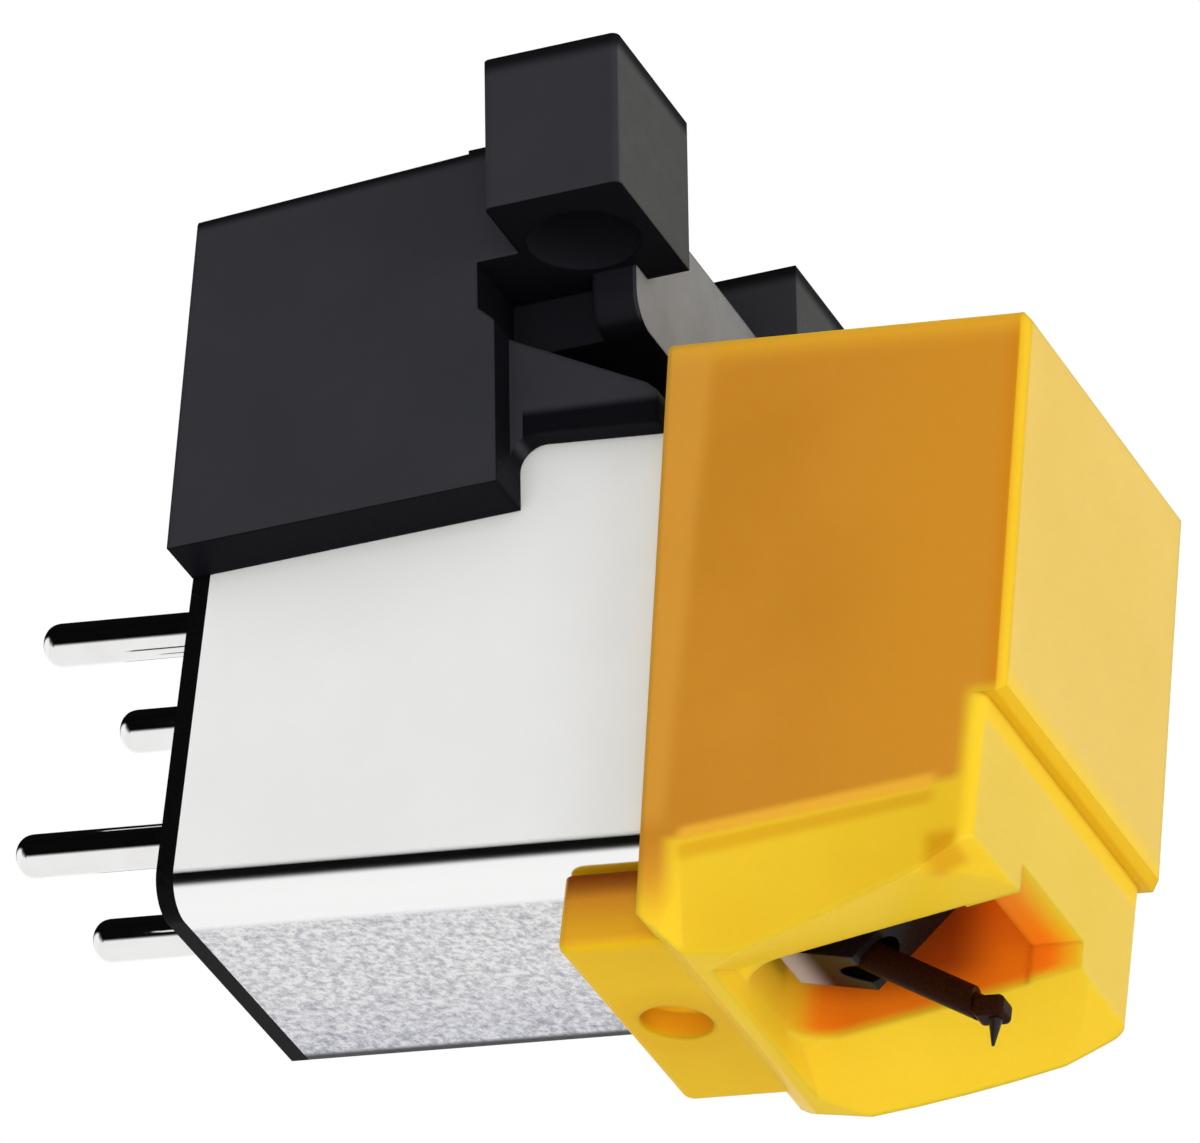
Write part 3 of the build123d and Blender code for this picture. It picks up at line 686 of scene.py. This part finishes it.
CORE_IRON = ((0.26, 0.26, 0.27), (0.36, 0.36, 0.37))
MAGNET_ALLOY = ((0.20, 0.20, 0.21), (0.28, 0.28, 0.29))
COIL_COPPER = ((0.50, 0.20, 0.08), (0.66, 0.30, 0.13))
INNER_BLACK = ((0.010, 0.010, 0.011), (0.018, 0.018, 0.019))
SHIELD_SHEET = ((0.60, 0.60, 0.60), (0.72, 0.72, 0.72))
RUBBER_BLACK = ((0.012, 0.012, 0.012), (0.022, 0.022, 0.022))
ARM_BROWN = ((0.016, 0.0045, 0.0018), (0.026, 0.0075, 0.0032))
TIP_DARK = ((0.010, 0.008, 0.006), (0.022, 0.016, 0.013))
METAL = 1.0

dress(saddle_moulding(), "mount_saddle")
dress(plate_moulding(), "terminal_plate")
dress(can_sheet(), "shield_can")
dress(plating(), "pin_right_signal", "pin_right_ground", "pin_left_signal", "pin_left_ground")
dress(yellow_moulding(), "stylus_holder")
dress(block_material(), "bearing_block")
dress(fine("core_iron", CORE_IRON, 0.4, METAL), "left_core", "right_core")
dress(fine("magnet_alloy", MAGNET_ALLOY, 0.35, METAL), "left_magnet", "right_magnet")
dress(fine("coil_copper", COIL_COPPER, 0.32, METAL), "left_coil", "right_coil")
dress(fine("inner_moulding", INNER_BLACK, 0.5), "coil_frame", "left_bobbin", "right_bobbin")
dress(fine("shield_sheet", SHIELD_SHEET, 0.3, METAL), "centre_shield")
dress(fine("damper_rubber", RUBBER_BLACK, 0.7), "rubber_damper", "magnet_holder")
dress(fine("arm_pipe", ARM_BROWN, 0.25, specular=0.02, scale=12000), "cantilever_pipe", "stylus_shank")
dress(fine("diamond", TIP_DARK, 0.1, specular=0.2), "diamond_tip")

# Studio sizes and places in metres
AMBIENT = 0.42
MIDDLE = Vector((0, 0, -0.012))
FLOOR_CENTRE = (0, 0, -0.75)
FLOOR_SIZE = (8, 8)
FLOOR_WHITE = 0.9
FLAG_BLACK = (0.004, 0.004, 0.004, 1)
FLAG_FADE = 0.3
BOX_WIDTH = 0.4
# Centre and size of each flag
FLAGS = {
    "ceiling_flag": ((0, 0.05, 0.5), (1.8, 1.8)),
    "side_flag": ((-0.572, 0.193, 0.232), (1.3, 1.5)),
}
# Centre and watts of each soft box
SOFT_BOXES = {
    "front_box": ((-0.10, -0.5, -0.08), 1.3),
    "under_box": ((-0.12, -0.12, -0.48), 1.0),
    "side_box": ((-0.48, -0.05, -0.10), 0.92),
    "top_box": ((0.10, 0.15, 0.46), 1.3),
    "back_box": ((0.32, 0.38, 0.03), 1.3),
}


# Studio: white to the camera and to mirrors, soft and even to matt surfaces
def seen_or_mirrored(tree):
    path = add(tree, "ShaderNodeLightPath")
    first = math(tree, "MAXIMUM", path.outputs["Is Camera Ray"], path.outputs["Is Glossy Ray"])
    return math(tree, "MAXIMUM", first, path.outputs["Is Transmission Ray"])


def blend_shaders(tree, fac, first, second, surface):
    blend = add(tree, "ShaderNodeMixShader")
    tree.links.new(fac, blend.inputs["Fac"])
    tree.links.new(first.outputs[0], blend.inputs[1])
    tree.links.new(second.outputs[0], blend.inputs[2])
    tree.links.new(blend.outputs[0], surface.inputs["Surface"])


def studio_world():
    world = bpy.data.worlds.new("studio")
    scene.world = world
    world.use_nodes = True
    tree = world.node_tree
    tree.nodes.clear()
    ambient = add(tree, "ShaderNodeBackground")
    ambient.inputs["Strength"].default_value = AMBIENT
    white = add(tree, "ShaderNodeBackground")
    for node in (ambient, white):
        node.inputs["Color"].default_value = (1, 1, 1, 1)
    surface = add(tree, "ShaderNodeOutputWorld")
    blend_shaders(tree, seen_or_mirrored(tree), ambient, white, surface)


def sheet(name, centre, size, mat):
    mesh = bpy.data.meshes.new(name)
    w, h = size[0] / 2, size[1] / 2
    mesh.from_pydata([(-w, -h, 0), (w, -h, 0), (w, h, 0), (-w, h, 0)], [], [(0, 1, 2, 3)])
    mesh.materials.append(mat)
    obj = bpy.data.objects.new(name, mesh)
    scene.collection.objects.link(obj)
    obj.location = centre
    return obj


def floor_paper():
    mat, tree, bsdf = new_material("floor_paper")
    paper = noise(tree, coords(tree), 60, 3)
    tree.links.new(tone(tree, paper, (0.86, 0.9)), bsdf.inputs["Base Color"])
    bsdf.inputs["Roughness"].default_value = 0.9
    white = add(tree, "ShaderNodeEmission")
    white.inputs["Strength"].default_value = 1.0
    seen = times(tree, seen_or_mirrored(tree), FLOOR_WHITE)
    blend_shaders(tree, seen, bsdf, white, tree.nodes["Material Output"])
    return mat


# Black to mirrors, clear towards its edges
def flag_cloth(name, size):
    mat, tree, bsdf = new_material(name)
    place, _ = own_axes(tree)
    bsdf.inputs["Base Color"].default_value = FLAG_BLACK
    bsdf.inputs["Specular IOR Level"].default_value = 0.0
    from_edges = []
    for axis, width in zip("XY", size):
        from_edges.append(math(tree, "SUBTRACT", width / 2, math(tree, "ABSOLUTE", place[axis])))
    cover = smooth(tree, math(tree, "MINIMUM", *from_edges), 0.0, FLAG_FADE)
    clear = add(tree, "ShaderNodeBsdfTransparent")
    blend_shaders(tree, cover, clear, bsdf, tree.nodes["Material Output"])
    return mat


def aim(obj, axis):
    obj.rotation_euler = (MIDDLE - obj.location).to_track_quat(axis, "Y").to_euler()


def black_flag(name, centre, size):
    obj = sheet(name, centre, size, flag_cloth(name + "_cloth", size))
    aim(obj, "Z")
    obj.visible_camera = False
    obj.visible_diffuse = False
    obj.visible_shadow = False


def soft_box(name, centre, watts):
    light = bpy.data.lights.new(name, "AREA")
    light.shape = "RECTANGLE"
    light.size = light.size_y = BOX_WIDTH
    light.energy = watts
    obj = bpy.data.objects.new(name, light)
    scene.collection.objects.link(obj)
    obj.location = centre
    aim(obj, "-Z")
    obj.visible_camera = False
    obj.visible_glossy = False


studio_world()
sheet("floor", FLOOR_CENTRE, FLOOR_SIZE, floor_paper())
for name, (centre, size) in FLAGS.items():
    black_flag(name, centre, size)
for name, (centre, watts) in SOFT_BOXES.items():
    soft_box(name, centre, watts)

# Camera below the cartridge, off its near front corner
SENSOR_WIDTH = 36.0
FOCAL_LENGTH = 456.272
CAMERA_PLACE = (-0.31716542, -0.12089672, -0.20185414)
CAMERA_RIGHT = (0.368457, -0.929554, -0.013005)
CAMERA_UP = (-0.451962, -0.191339, 0.871275)
CAMERA_BACK = (-0.812385, -0.315150, -0.490623)

cam_data = bpy.data.cameras.new("camera")
cam = bpy.data.objects.new("camera", cam_data)
scene.collection.objects.link(cam)
cam_data.sensor_fit = "HORIZONTAL"
cam_data.sensor_width = SENSOR_WIDTH
cam_data.lens = FOCAL_LENGTH
cam_data.clip_start = 0.01
cam_data.clip_end = 20.0
turn = Matrix((CAMERA_RIGHT, CAMERA_UP, CAMERA_BACK)).transposed()
cam.matrix_world = Matrix.Translation(CAMERA_PLACE) @ turn.to_4x4()
scene.camera = cam
